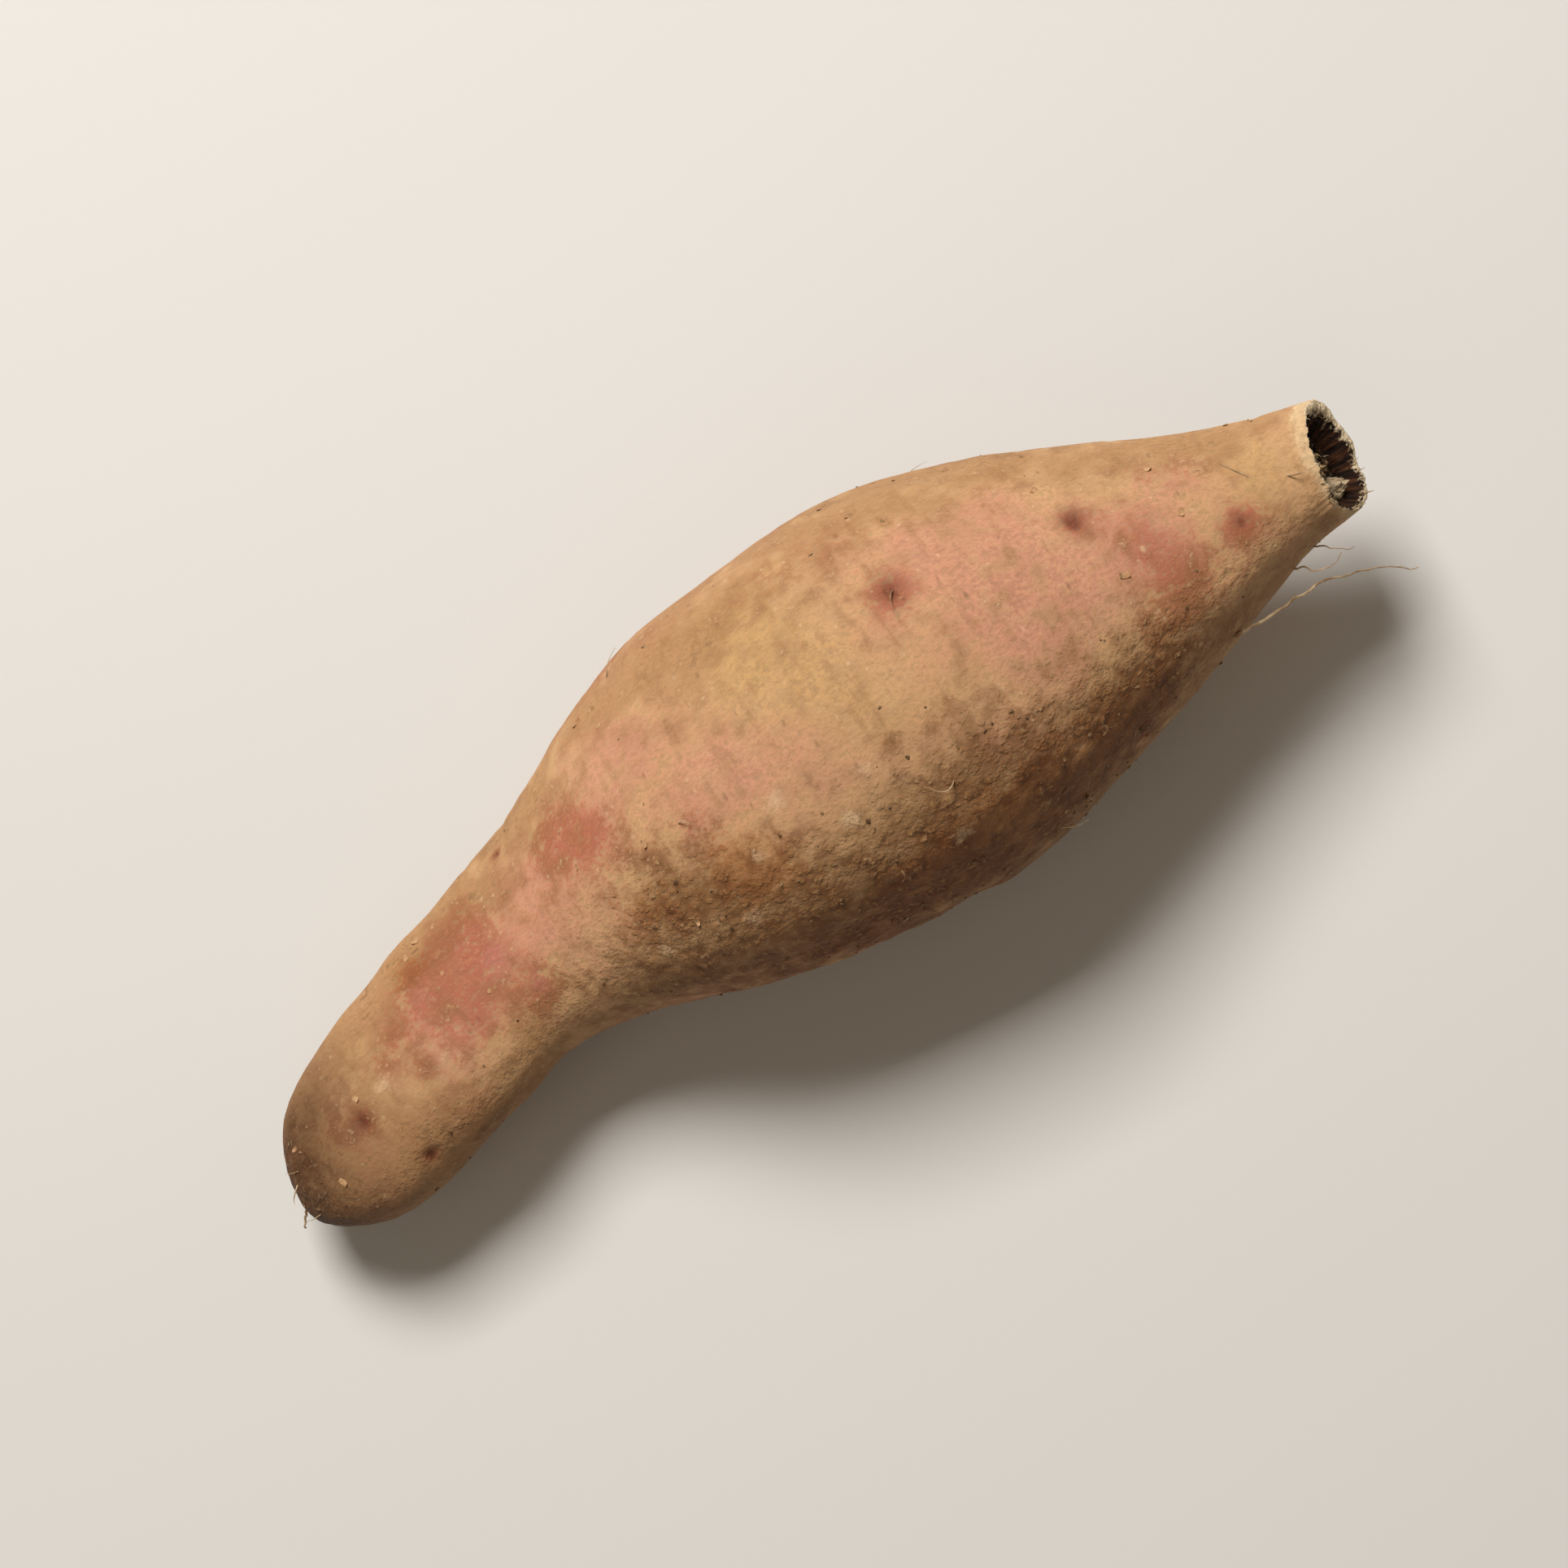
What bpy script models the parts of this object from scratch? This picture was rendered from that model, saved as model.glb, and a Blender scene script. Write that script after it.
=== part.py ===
# A sweet potato lying on its side: one solid, because the root grew in one piece.
# It runs along X, from the blunt tail to the crown at +X, where it was cut from its vine.
# It bends sideways in a slow S and tapers to both ends, and it lies on a small flat spot under its belly.

import math
import random

import bmesh
import bpy
from mathutils import Vector, noise

MM = 0.001

# Driving dimensions of the root
LENGTH = 201.5 * MM
FLATNESS = 0.93  # height over breadth of a section
TAIL_CAP = 13 * MM  # length of the rounded tail end
# Along the root, in mm: distance from the tail, bend to the side, underside above the floor, half breadth
STATIONS = (
    (0, -0.8, 4.6, 11.6),
    (16, 3.6, 2.2, 14.7),
    (32, 7.6, 1.5, 16.4),
    (48, 11.0, 2.0, 15.9),
    (64, 12.0, 1.2, 19.8),
    (88, 11.6, -0.2, 29.0),
    (106, 10.6, -0.9, 32.2),
    (126, 9.3, -0.9, 33.2),
    (144, 7.7, 1.2, 30.3),
    (160, 5.5, 7.6, 24.4),
    (176, 3.4, 16.2, 17.4),
    (192, 1.7, 23.9, 11.3),
    (201.5, 0.4, 27.3, 9.2),
)

# Mesh of the skin
SIDES = 52
CAP_RINGS = 8
BODY_RINGS = 71

# Crown: the cut end, a dished face inside a ragged rim
CROWN_SKEW = 0.10  # the cut leans, further along on the +Y side
CROWN_SLANT = 0.34  # and shorter on top, so the face looks upwards
CROWN_BLEND = 22 * MM  # length over which sections turn into the slanted cut
# Rings from the rim to the middle of the face: depth below the rim in mm, and share of the rim's radius
CROWN_FACE = ((-0.1, 0.95), (0.1, 0.86), (1.1, 0.76), (2.2, 0.62), (2.7, 0.44), (2.5, 0.26), (1.8, 0.12))
CROWN_MIDDLE_DEPTH = 1.5 * MM
FACE_RELIEF = 0.3  # how much of the skin's relief the face keeps
RIM_RELIEF = 0.4  # how much of the broad relief is left where the skin meets the rim
RIM_WAVE = 0.75 * MM
RIM_WAVES = 2.6  # how many waves the ragged rim has, roughly
RIM_REACH = 5 * MM

# Tail: the round end draws out a little where the thin end of the root broke off
TAIL_POINT = 0.7 * MM
TAIL_POINT_SHARE = 0.3  # how much of the section's radius the point takes up

# Broad form of the sections
RIDGE_COUNT = 3
RIDGE_HEIGHT = 0.95 * MM
RIDGE_ANGLE = math.radians(-25)
RIDGE_TWIST = math.radians(22)  # turn of the ridges over the whole length
LUMP_HEIGHT = 0.85 * MM
LUMP_SIZE = 27 * MM
DIMPLE_HEIGHT = 0.30 * MM
DIMPLE_SIZE = 9 * MM

# Eyes, the dents where side roots grew: mm from the tail, degrees from the top towards +Y, width and depth in mm
EYES_ON_TOP = (
    (16, 1, 3.8, 0.9),
    (22, -43, 3.4, 0.9),
    (133, 25, 4.8, 1.3),
    (162, 20, 4.0, 1.1),
    (182, -24, 3.2, 0.7),
)
EYE_ROWS = (72, 122, 168, 216, 268)  # degrees from the top of the rows round the sides and back
EYES_IN_A_ROW = 5
EYE_SPREAD = (24 * MM, 170 * MM)
EYE_WIDTHS = (3.2 * MM, 4.8 * MM)
EYE_STRAY = 9  # degrees that an eye is off its row
EYE_DEPTH_SHARE = 0.26  # depth over width of the eyes in rows
EYE_SEED = 11
EYE_BREADTH = 1.25  # an eye's reach round the root over its reach along it
BROW_HEIGHT = 0.45  # the brow's height over the eye's depth
BROW_PLACE = 1.35  # how far towards the crown the brow is, in eye widths

# Furrows, shallow grooves that run along the skin: start and end in mm, degrees, width and depth in mm
FURROWS = (
    (70, 128, -62, 3.6, 0.9),
    (96, 160, 78, 4.0, 0.8),
    (60, 118, 148, 4.4, 1.0),
    (104, 172, -112, 4.2, 1.1),
    (20, 60, -96, 3.2, 0.7),
)


def smooth_through(column, along):
    """Value of one column of STATIONS at this distance from the tail, on a smooth curve through them."""
    xs = [row[0] * MM for row in STATIONS]
    ys = [row[column] * MM for row in STATIONS]
    last = len(xs) - 1
    i = min(max(sum(x <= along for x in xs) - 1, 0), last - 1)

    def slope(k):
        low, high = max(k - 1, 0), min(k + 1, last)
        return (ys[high] - ys[low]) / (xs[high] - xs[low])

    span = xs[i + 1] - xs[i]
    t = (along - xs[i]) / span
    start, end = slope(i) * span, slope(i + 1) * span
    return (
        (2 * t**3 - 3 * t**2 + 1) * ys[i]
        + (t**3 - 2 * t**2 + t) * start
        + (3 * t**2 - 2 * t**3) * ys[i + 1]
        + (t**3 - t**2) * end
    )


def half_breadth(along):
    return smooth_through(3, along)


def middle(along):
    """Point on the root's centreline."""
    lift = smooth_through(2, along)
    return Vector((along, smooth_through(1, along), lift + FLATNESS * half_breadth(along)))


def section_axes(along):
    """Direction of the root here, and the level and the upward axis of its section."""
    step = 1.5 * MM
    low, high = max(along - step, 0), min(along + step, LENGTH)
    forward = (middle(high) - middle(low)).normalized()
    side = Vector((0, 0, 1)).cross(forward).normalized()
    return forward, side, forward.cross(side)


def ease(t):
    t = min(max(t, 0), 1)
    return t * t * (3 - 2 * t)


def angle_between(a, b):
    return (a - b + math.pi) % (2 * math.pi) - math.pi


def all_eyes():
    """Every eye as distance, angle, width and depth: those on top, and rows round the rest of the root."""
    eyes = [(a * MM, math.radians(d), w * MM, h * MM) for a, d, w, h in EYES_ON_TOP]
    chance = random.Random(EYE_SEED)
    low, high = EYE_SPREAD
    for row, degrees in enumerate(EYE_ROWS):
        for place in range(EYES_IN_A_ROW):
            share = (place + 0.5 * (row % 2) + chance.uniform(0.15, 0.5)) / EYES_IN_A_ROW
            angle = math.radians(degrees + chance.uniform(-EYE_STRAY, EYE_STRAY))
            width = chance.uniform(*EYE_WIDTHS)
            eyes.append((low + share * (high - low), angle, width, EYE_DEPTH_SHARE * width))
    return eyes


EYES = all_eyes()


def eye_relief(along, angle, radius):
    """Dents with a low brow on the crown side of each."""
    height = 0.0
    for eye_along, eye_angle, width, depth in EYES:
        a = (along - eye_along) / width
        b = angle_between(angle, eye_angle) * radius / (EYE_BREADTH * width)
        height -= depth * math.exp(-a * a - b * b)
        brow = ((a - BROW_PLACE) / 0.8) ** 2 + (b / 1.3) ** 2
        height += BROW_HEIGHT * depth * math.exp(-brow)
    return height


def furrow_relief(along, angle, radius):
    height = 0.0
    for start, end, degrees, width, depth in FURROWS:
        share = (along / MM - start) / (end - start)
        if 0 < share < 1:
            across = angle_between(angle, math.radians(degrees)) * radius / (width * MM)
            height -= depth * MM * math.sin(math.pi * share) * math.exp(-across * across)
    return height


def broad_relief(along, angle, point):
    """Three soft ridges that turn a little on their way, and the lumps of a root grown in soil."""
    twist = RIDGE_TWIST * (along / LENGTH - 0.5)
    ridge = RIDGE_HEIGHT * math.cos(RIDGE_COUNT * (angle - RIDGE_ANGLE - twist))
    lump = LUMP_HEIGHT * noise.noise(point / LUMP_SIZE)
    dimple = DIMPLE_HEIGHT * noise.noise(point / DIMPLE_SIZE)
    return ridge + lump + dimple


def rings():
    """From crown to tail: distance from the tail, how far back it is set, share of the section, share of relief."""
    face = [(LENGTH, depth * MM, share, FACE_RELIEF * share) for depth, share in reversed(CROWN_FACE)]
    step = (LENGTH - TAIL_CAP) / BODY_RINGS
    body = [(TAIL_CAP + step * i, 0, 1, 1) for i in range(BODY_RINGS, -1, -1)]
    cap = []
    for i in range(CAP_RINGS - 1, 0, -1):
        turn = math.pi / 2 * i / CAP_RINGS
        share = math.sin(turn)
        point = TAIL_POINT * math.exp(-((share / TAIL_POINT_SHARE) ** 2))
        cap.append((TAIL_CAP * (1 - math.cos(turn)), point, share, share))
    return face + body + cap


def skin_point(along, set_back, share, relief_share, angle):
    """Point of the skin, or of the crown's face, at this angle from the top towards +Y."""
    forward, side, up = section_axes(along)
    radius = half_breadth(along)
    direction = side * math.sin(angle) + up * (FLATNESS * math.cos(angle))
    base = middle(along) + direction * radius * share
    to_rim = LENGTH - along
    relief = broad_relief(along, angle, base) * (RIM_RELIEF + (1 - RIM_RELIEF) * ease(to_rim / CROWN_BLEND))
    relief += eye_relief(along, angle, radius) + furrow_relief(along, angle, radius)
    point = base + direction * relief * relief_share
    # The cut leans, and its rim is ragged
    offset = point - middle(along)
    lean = CROWN_SKEW * offset.dot(side) - CROWN_SLANT * offset.dot(up)
    ragged = noise.noise(Vector((math.cos(angle), math.sin(angle), 0.3)) * RIM_WAVES)
    forward_shift = lean * ease(1 - to_rim / CROWN_BLEND)
    forward_shift += RIM_WAVE * ragged * share * ease(1 - to_rim / RIM_REACH)
    return point + forward * (forward_shift - set_back)


def grow(mesh):
    """Turns a unit globe, with its poles at the crown's middle and the tail's tip, into the root."""
    places = rings()
    bmesh.ops.create_uvsphere(mesh, u_segments=SIDES, v_segments=len(places) + 1, radius=1)
    for vert in mesh.verts:
        ring = round(math.acos(max(-1, min(1, vert.co.z))) / math.pi * (len(places) + 1))
        if ring == 0:
            forward = section_axes(LENGTH)[0]
            vert.co = middle(LENGTH) - forward * CROWN_MIDDLE_DEPTH
        elif ring == len(places) + 1:
            vert.co = middle(0) - section_axes(0)[0] * TAIL_POINT
        else:
            angle = math.atan2(vert.co.x, vert.co.y)
            vert.co = skin_point(*places[ring - 1], angle)


def settle(mesh):
    """Flattens what would be under the floor, and centres the root over the origin."""
    for vert in mesh.verts:
        vert.co.z = max(vert.co.z, 0)
    for axis in (0, 1):
        values = [vert.co[axis] for vert in mesh.verts]
        shift = (min(values) + max(values)) / 2
        for vert in mesh.verts:
            vert.co[axis] -= shift


def skin_material():
    material = bpy.data.materials.new("skin")
    material.use_nodes = True
    shader = material.node_tree.nodes["Principled BSDF"]
    shader.inputs["Base Color"].default_value = (0.52, 0.29, 0.16, 1)
    shader.inputs["Roughness"].default_value = 0.85
    shader.inputs["Metallic"].default_value = 0
    return material


def main():
    for obj in list(bpy.data.objects):
        bpy.data.objects.remove(obj)
    collection = bpy.data.collections.new("sweet_potato_parts")
    bpy.context.scene.collection.children.link(collection)
    mesh = bmesh.new()
    grow(mesh)
    settle(mesh)
    data = bpy.data.meshes.new("sweet_potato")
    mesh.to_mesh(data)
    mesh.free()
    data.shade_smooth()
    data.materials.append(skin_material())
    collection.objects.link(bpy.data.objects.new("sweet_potato", data))


main()
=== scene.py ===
# A raw sweet potato on a pale floor, seen from above.
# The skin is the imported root, subdivided and roughened.
# Soil crumbs, hairs, flakes and fibres are strewn over it, and four thin roots grow from it.

import math

import bmesh
import bpy
import numpy as np
from mathutils import Matrix, Vector, noise


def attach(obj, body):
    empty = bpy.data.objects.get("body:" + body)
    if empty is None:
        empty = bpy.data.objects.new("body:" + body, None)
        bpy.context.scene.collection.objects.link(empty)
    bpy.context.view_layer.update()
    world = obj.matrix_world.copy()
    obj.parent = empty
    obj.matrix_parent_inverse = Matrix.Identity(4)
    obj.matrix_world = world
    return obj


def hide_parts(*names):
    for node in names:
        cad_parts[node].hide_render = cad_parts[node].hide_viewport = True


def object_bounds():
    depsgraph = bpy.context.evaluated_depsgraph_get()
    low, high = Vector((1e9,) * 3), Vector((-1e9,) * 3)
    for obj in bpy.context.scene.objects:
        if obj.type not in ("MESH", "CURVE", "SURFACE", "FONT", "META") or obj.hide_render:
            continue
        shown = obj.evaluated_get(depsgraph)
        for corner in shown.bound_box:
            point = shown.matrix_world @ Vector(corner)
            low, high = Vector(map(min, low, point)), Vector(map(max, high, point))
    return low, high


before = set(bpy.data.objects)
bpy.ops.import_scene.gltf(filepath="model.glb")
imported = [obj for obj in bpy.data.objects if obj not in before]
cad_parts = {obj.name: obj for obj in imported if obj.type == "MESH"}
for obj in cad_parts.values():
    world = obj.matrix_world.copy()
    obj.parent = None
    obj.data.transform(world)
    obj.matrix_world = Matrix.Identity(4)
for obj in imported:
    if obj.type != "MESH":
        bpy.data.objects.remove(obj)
cadLow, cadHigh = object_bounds()

mm = 0.001
noise.seed_set(3)  # so that the thin roots' kinks are the same in each run


# Node helpers, for shader and geometry trees alike

def add(tree, kind, wires=None, **settings):
    node = tree.nodes.new(kind)
    for name, value in settings.items():
        setattr(node, name, value)
    for key, value in (wires or {}).items():
        if isinstance(value, bpy.types.NodeSocket):
            tree.links.new(value, node.inputs[key])
        else:
            node.inputs[key].default_value = value
    return node


def calc(tree, operation, a, b=0.0, c=0.0):
    return add(tree, "ShaderNodeMath", {0: a, 1: b, 2: c}, operation=operation).outputs[0]


def times(tree, a, b, *more):
    value = calc(tree, "MULTIPLY", a, b)
    for factor in more:
        value = calc(tree, "MULTIPLY", value, factor)
    return value


def vectorCalc(tree, operation, a, b=(0, 0, 0)):
    node = add(tree, "ShaderNodeVectorMath", {0: a, 1: b}, operation=operation)
    return node.outputs["Value" if operation in ("LENGTH", "DISTANCE") else "Vector"]


def scaled(tree, vector, factor):
    wires = {0: vector, "Scale": factor}
    return add(tree, "ShaderNodeVectorMath", wires, operation="SCALE").outputs["Vector"]


def inSizes(tree, vector, size):
    # The vector counted in steps of the size
    return scaled(tree, vector, calc(tree, "DIVIDE", 1.0, size))


def parted(tree, vector):
    return add(tree, "ShaderNodeSeparateXYZ", {0: vector}).outputs


def joined(tree, x, y, z):
    return add(tree, "ShaderNodeCombineXYZ", {0: x, 1: y, 2: z}).outputs[0]


def fade(tree, value, low, high, outLow=0.0, outHigh=1.0):
    wires = {"Value": value, "From Min": low, "From Max": high, "To Min": outLow, "To Max": outHigh}
    return add(tree, "ShaderNodeMapRange", wires, interpolation_type="SMOOTHSTEP").outputs["Result"]


def cloudy(tree, vector, size, detail=2.0, roughness=0.5, output="Fac"):
    wires = {"Vector": vector, "Scale": 1 / size, "Detail": detail, "Roughness": roughness}
    return add(tree, "ShaderNodeTexNoise", wires).outputs[output]


def mixed(tree, factor, a, b, blend="MIX"):
    wires = {0: factor, 6: a, 7: b}
    return add(tree, "ShaderNodeMix", wires, data_type="RGBA", blend_type=blend).outputs[2]


def paint(red, green, blue):
    # A colour as a screen shows it, 0 to 255, made linear
    def straight(value):
        value /= 255
        return value / 12.92 if value <= 0.04045 else ((value + 0.055) / 1.055) ** 2.4

    return (straight(red), straight(green), straight(blue), 1)


def newGroup(name, inputs, output):
    tree = bpy.data.node_groups.new(name, "ShaderNodeTree")
    for socketName, value in inputs.items():
        kind = "NodeSocketVector" if isinstance(value, tuple) else "NodeSocketFloat"
        tree.interface.new_socket(socketName, in_out="INPUT", socket_type=kind).default_value = value
    tree.interface.new_socket(output, in_out="OUTPUT", socket_type="NodeSocketFloat")
    return tree, tree.nodes.new("NodeGroupInput").outputs, tree.nodes.new("NodeGroupOutput").inputs[output]


def useGroup(tree, group, **wires):
    return add(tree, "ShaderNodeGroup", wires, node_tree=group).outputs[0]


def newMaterial(name, roughness, specular):
    material = bpy.data.materials.new(name)
    material.use_nodes = True
    shader = material.node_tree.nodes["Principled BSDF"]
    shader.inputs["Roughness"].default_value = roughness
    shader.inputs["Specular IOR Level"].default_value = specular
    return material, material.node_tree, shader


def objectMm(tree):
    return scaled(tree, add(tree, "ShaderNodeTexCoord").outputs["Object"], 1000.0)


def fromMesh(tree, name, output="Fac"):
    return add(tree, "ShaderNodeAttribute", attribute_name=name).outputs[output]


def finishMaterial(tree, shader, colour, height):
    tree.links.new(colour, shader.inputs["Base Color"])
    bump = add(tree, "ShaderNodeBump", {"Strength": 1.0, "Distance": mm, "Height": height})
    tree.links.new(bump.outputs["Normal"], shader.inputs["Normal"])


# Shared effects: sizes in mm

origin = (0.0, 0.0, 0.0)


def makeBlotch():
    # Soft clouds
    sizes = {"Where": origin, "Size": 10.0, "Low": 0.4, "High": 0.6}
    group, inputs, output = newGroup("blotch", sizes, "Mask")
    cloud = cloudy(group, inSizes(group, inputs["Where"], inputs["Size"]), 1.0, 4.0, 0.6)
    group.links.new(fade(group, cloud, inputs["Low"], inputs["High"]), output)
    return group


def makeSpecks():
    # Dots of uneven size in a share of the cells
    sizes = {"Where": origin, "Spacing": 2.0, "Radius": 0.3, "Share": 0.5, "Shift": 0.0}
    group, inputs, output = newGroup("specks", sizes, "Mask")
    shift = joined(group, inputs["Shift"], 0.0, inputs["Shift"])
    spot = inSizes(group, vectorCalc(group, "ADD", inputs["Where"], shift), inputs["Spacing"])
    cells = add(group, "ShaderNodeTexVoronoi", {"Vector": spot, "Scale": 1.0, "Randomness": 1.0})
    parts = add(group, "ShaderNodeSeparateColor", {0: cells.outputs["Color"]}).outputs
    reach = times(group, inputs["Radius"], calc(group, "MULTIPLY_ADD", parts[1], 1.1, 0.35))
    near = fade(group, cells.outputs["Distance"], times(group, reach, 0.25), reach, 1.0, 0.0)
    chosen = calc(group, "LESS_THAN", parts[0], inputs["Share"])
    group.links.new(times(group, near, chosen), output)
    return group


def makeClods():
    # The gaps between close lumps
    group, inputs, output = newGroup("clods", {"Where": origin, "Spacing": 1.5}, "Mask")
    spot = inSizes(group, inputs["Where"], inputs["Spacing"])
    cells = add(group, "ShaderNodeTexVoronoi", {"Vector": spot, "Scale": 1.0, "Randomness": 1.0})
    group.links.new(fade(group, cells.outputs["Distance"], 0.30, 0.75), output)
    return group


blotch, specks, clods = makeBlotch(), makeSpecks(), makeClods()
print("shared effects ready")


# Places on the root: mm from the tail, and degrees from the top towards +Y

tailAt = -102.7  # x in mm of the tail, from which the places below are measured
flatness = 0.93  # height over breadth of the root

eyes = {
    # name: mm from the tail, degrees, then in mm the radius of the dark middle,
    # the radius of its halo and how deep it is pressed in
    "bigEye": (132.7, 25, 1.45, 5.8, 0.65),
    "crownEye": (161.8, 20, 1.40, 3.8, 0.60),
    "crownMark": (182.6, -16, 0.75, 3.2, 0.25),
    "tailEye": (16.3, 1, 1.20, 4.2, 0.45),
    "tailLowEye": (21.8, -43, 1.05, 2.4, 0.40),
    "bendEye": (58.0, 68, 0.70, 1.8, 0.30),
    "bellyEyeA": (76.0, -78, 0.9, 2.4, 0.4),
    "bellyEyeB": (120.0, -88, 0.8, 2.6, 0.4),
    "bellyEyeC": (152.0, -98, 0.9, 2.4, 0.4),
    "backEyeA": (88.0, 118, 1.0, 3.4, 0.5),
    "backEyeB": (128.0, 128, 0.9, 2.6, 0.4),
    "backEyeC": (160.0, 104, 0.9, 2.8, 0.4),
    "underEye": (104.0, 172, 0.9, 2.4, 0.3),
}

zones = {
    # name: places as mm from the tail, degrees, reach along in mm, reach round in mm, strength
    "rosy": [
        (45, 42, 7, 6, 1.05), (34, 28, 7, 6, 0.9), (52, -22, 4.5, 4, 0.7), (71, 24, 6, 7, 1.15),
        (66, 38, 5, 6, 0.7), (168, 10, 6, 5, 0.5), (180, 34, 7, 5, 0.3), (171, -16, 9, 7, 0.6),
        (184, -16, 5, 3, 0.5), (132, 24, 6, 6, 0.3), (11, 22, 5, 5, 0.4), (40, -8, 9, 6, 0.6),
        (46, 14, 8, 8, 0.6), (60, 4, 9, 8, 0.3), (126, 54, 14, 6, 0.3), (24, 12, 2.5, 2.5, 0.6),
        (29, -4, 2.5, 2.5, 0.6), (28, 22, 2, 2, 0.5), (82, -6, 9, 7, 0.5), (168, -31, 8, 6, 0.7),
        (90, 100, 20, 12, 0.6), (140, 120, 16, 10, 0.6), (60, 150, 12, 8, 0.6), (100, -130, 18, 12, 0.5),
        (160, -110, 12, 8, 0.5), (30, -120, 10, 8, 0.5), (120, 170, 16, 10, 0.45),
    ],
    "pinkish": [
        (82, 34, 12, 10, 0.8), (143, 20, 15, 12, 0.9), (170, 6, 13, 9, 0.7), (60, 12, 12, 10, 0.7),
        (152, -8, 12, 8, 0.5), (96, 2, 12, 8, 0.5), (36, 4, 14, 10, 0.6), (120, 110, 30, 16, 0.6),
        (80, -100, 30, 14, 0.5), (110, 160, 30, 16, 0.6),
    ],
    "golden": [
        (110, 32, 13, 12, 1.0), (118, 4, 10, 9, 0.5), (190, 10, 9, 8, 0.85), (112, 62, 16, 8, 0.5),
        (36, -52, 9, 5, 0.5), (22, 40, 8, 5, 0.5), (130, -10, 12, 6, 0.4), (66, -50, 6, 5, 0.5),
        (150, 62, 16, 6, 0.4), (70, 170, 12, 10, 0.6), (150, 160, 10, 9, 0.6),
    ],
    "purple": [
        (48.5, 9, 4, 3, 0.9), (35, 28, 3.5, 3.5, 0.7), (52, -20, 2.5, 3.5, 0.7), (10, 4, 4, 5, 0.4),
        (170, -2, 3.5, 3, 0.5),
    ],
    "rusty": [
        (36, 50, 4, 3.5, 0.9), (89, -18, 7, 6, 0.8), (74, -15, 7, 5, 0.6), (92, -27, 6, 4, 0.6),
        (104, -64, 40, 12, 0.9), (125, -50, 12, 7, 0.6), (8, 30, 8, 8, 0.4), (146, -58, 26, 11, 0.9),
        (90, 130, 20, 10, 0.5), (150, 150, 20, 10, 0.5), (50, -120, 16, 8, 0.5),
    ],
    "pale": [
        (168, -3, 0.8, 0.8, 0.9), (166.5, -10, 0.5, 1.5, 0.6), (22, 8, 2.4, 1.8, 0.7),
        (33, -10, 1.8, 1.5, 0.7), (99, -9, 2.2, 2.0, 0.8), (107, -24, 2.2, 1.8, 0.8),
        (93, -20, 2.0, 1.8, 0.6), (114, -14, 2.0, 1.6, 0.6), (86, -36, 2.0, 2.0, 0.6),
        (120, -46, 2.4, 2.0, 0.7), (72, -34, 1.8, 1.8, 0.6), (140, 100, 2.4, 2.0, 0.7),
        (96, 140, 2.4, 2.0, 0.7), (60, -110, 2.4, 2.0, 0.7),
    ],
    # Soil, which on the lower side is also painted shade
    "soiled": [
        (78, -15, 9, 7, 0.85), (88, -30, 12, 8, 0.65), (110, -40, 18, 11, 0.65), (128, -32, 14, 8, 0.7),
        (100, -66, 34, 16, 0.9), (29, -40, 9, 5, 0.4),
        (132, -66, 30, 14, 0.9), (68, -46, 14, 7, 0.6), (156, -46, 13, 8, 0.85), (3, 20, 6, 12, 0.6),
        (100, 150, 30, 12, 0.6), (60, -140, 20, 10, 0.5), (122, -10, 5, 4, 0.2), (160, 90, 8, 6, 0.4),
        (2, -90, 5, 14, 0.5), (194, -70, 6, 8, 0.3), (28, -70, 14, 7, 0.5), (112, -120, 40, 16, 0.6),
        (60, 92, 30, 6, 0.35), (130, 84, 30, 6, 0.35),
    ],
}


# The slices that find the middle line: two counts, and two lengths in mm
slicing = {"slices": 64, "softOver": 7, "fromEnds": 2.0, "halfWidth": 2.6}


def findMiddleLine(points):
    # The root's middle line, as x, y and z of its slices
    inset, halfWidth, width = slicing["fromEnds"] * mm, slicing["halfWidth"] * mm, slicing["softOver"]
    xs = np.linspace(points[:, 0].min() + inset, points[:, 0].max() - inset, slicing["slices"])
    sides = []
    for x in xs:
        near = points[abs(points[:, 0] - x) < halfWidth]
        sides.append((near.min(0) + near.max(0)) / 2)
    soft = np.ones(width) / width
    padded = [np.pad([side[i] for side in sides], width // 2, "edge") for i in (1, 2)]
    ys, zs = [np.convolve(values, soft, "valid") for values in padded]
    return xs, ys, zs


def placesOn(points):
    # For each point: mm from the tail, angle from the top, and mm from the middle line
    xs, ys, zs = middleLine
    across = points[:, 1] - np.interp(points[:, 0], xs, ys)
    up = points[:, 2] - np.interp(points[:, 0], xs, zs)
    return points[:, 0] / mm - tailAt, np.arctan2(across, up / flatness), np.hypot(across, up) / mm


def straightened(points):
    # The points in mm as if the root had no bends, so that a pattern can run round it
    xs, ys, zs = middleLine
    across = points[:, 1] - np.interp(points[:, 0], xs, ys)
    up = points[:, 2] - np.interp(points[:, 0], xs, zs)
    bend = np.interp(points[:, 0], xs, np.gradient(ys, xs))
    climb = np.interp(points[:, 0], xs, np.gradient(zs, xs))
    return np.stack([points[:, 0] + across * bend + up * climb, across, up], 1) / mm


def softPatch(places, along, degrees, reachAlong, reachRound):
    fromTail, turn, away = places
    aside = (turn - math.radians(degrees) + math.pi) % (2 * math.pi) - math.pi
    return np.exp(-((fromTail - along) / reachAlong) ** 2 - (aside * away / reachRound) ** 2)


def zoneOf(places, name):
    return sum(strength * softPatch(places, *patch) for *patch, strength in zones[name])


def clouds(points, size, seed):
    # Cloudy values from about -1 to 1, for points in mm
    falloff, spacing, octaves = 0.9, 2.1, 3
    shift = Vector((seed * 7.3, seed * 3.1, seed * 5.7))
    return np.array([noise.fractal(Vector(p) / size + shift, falloff, spacing, octaves) for p in points])


def smooth(values, low, high):
    share = np.clip((values - low) / (high - low), 0, 1)
    return share * share * (3 - 2 * share)


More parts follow.
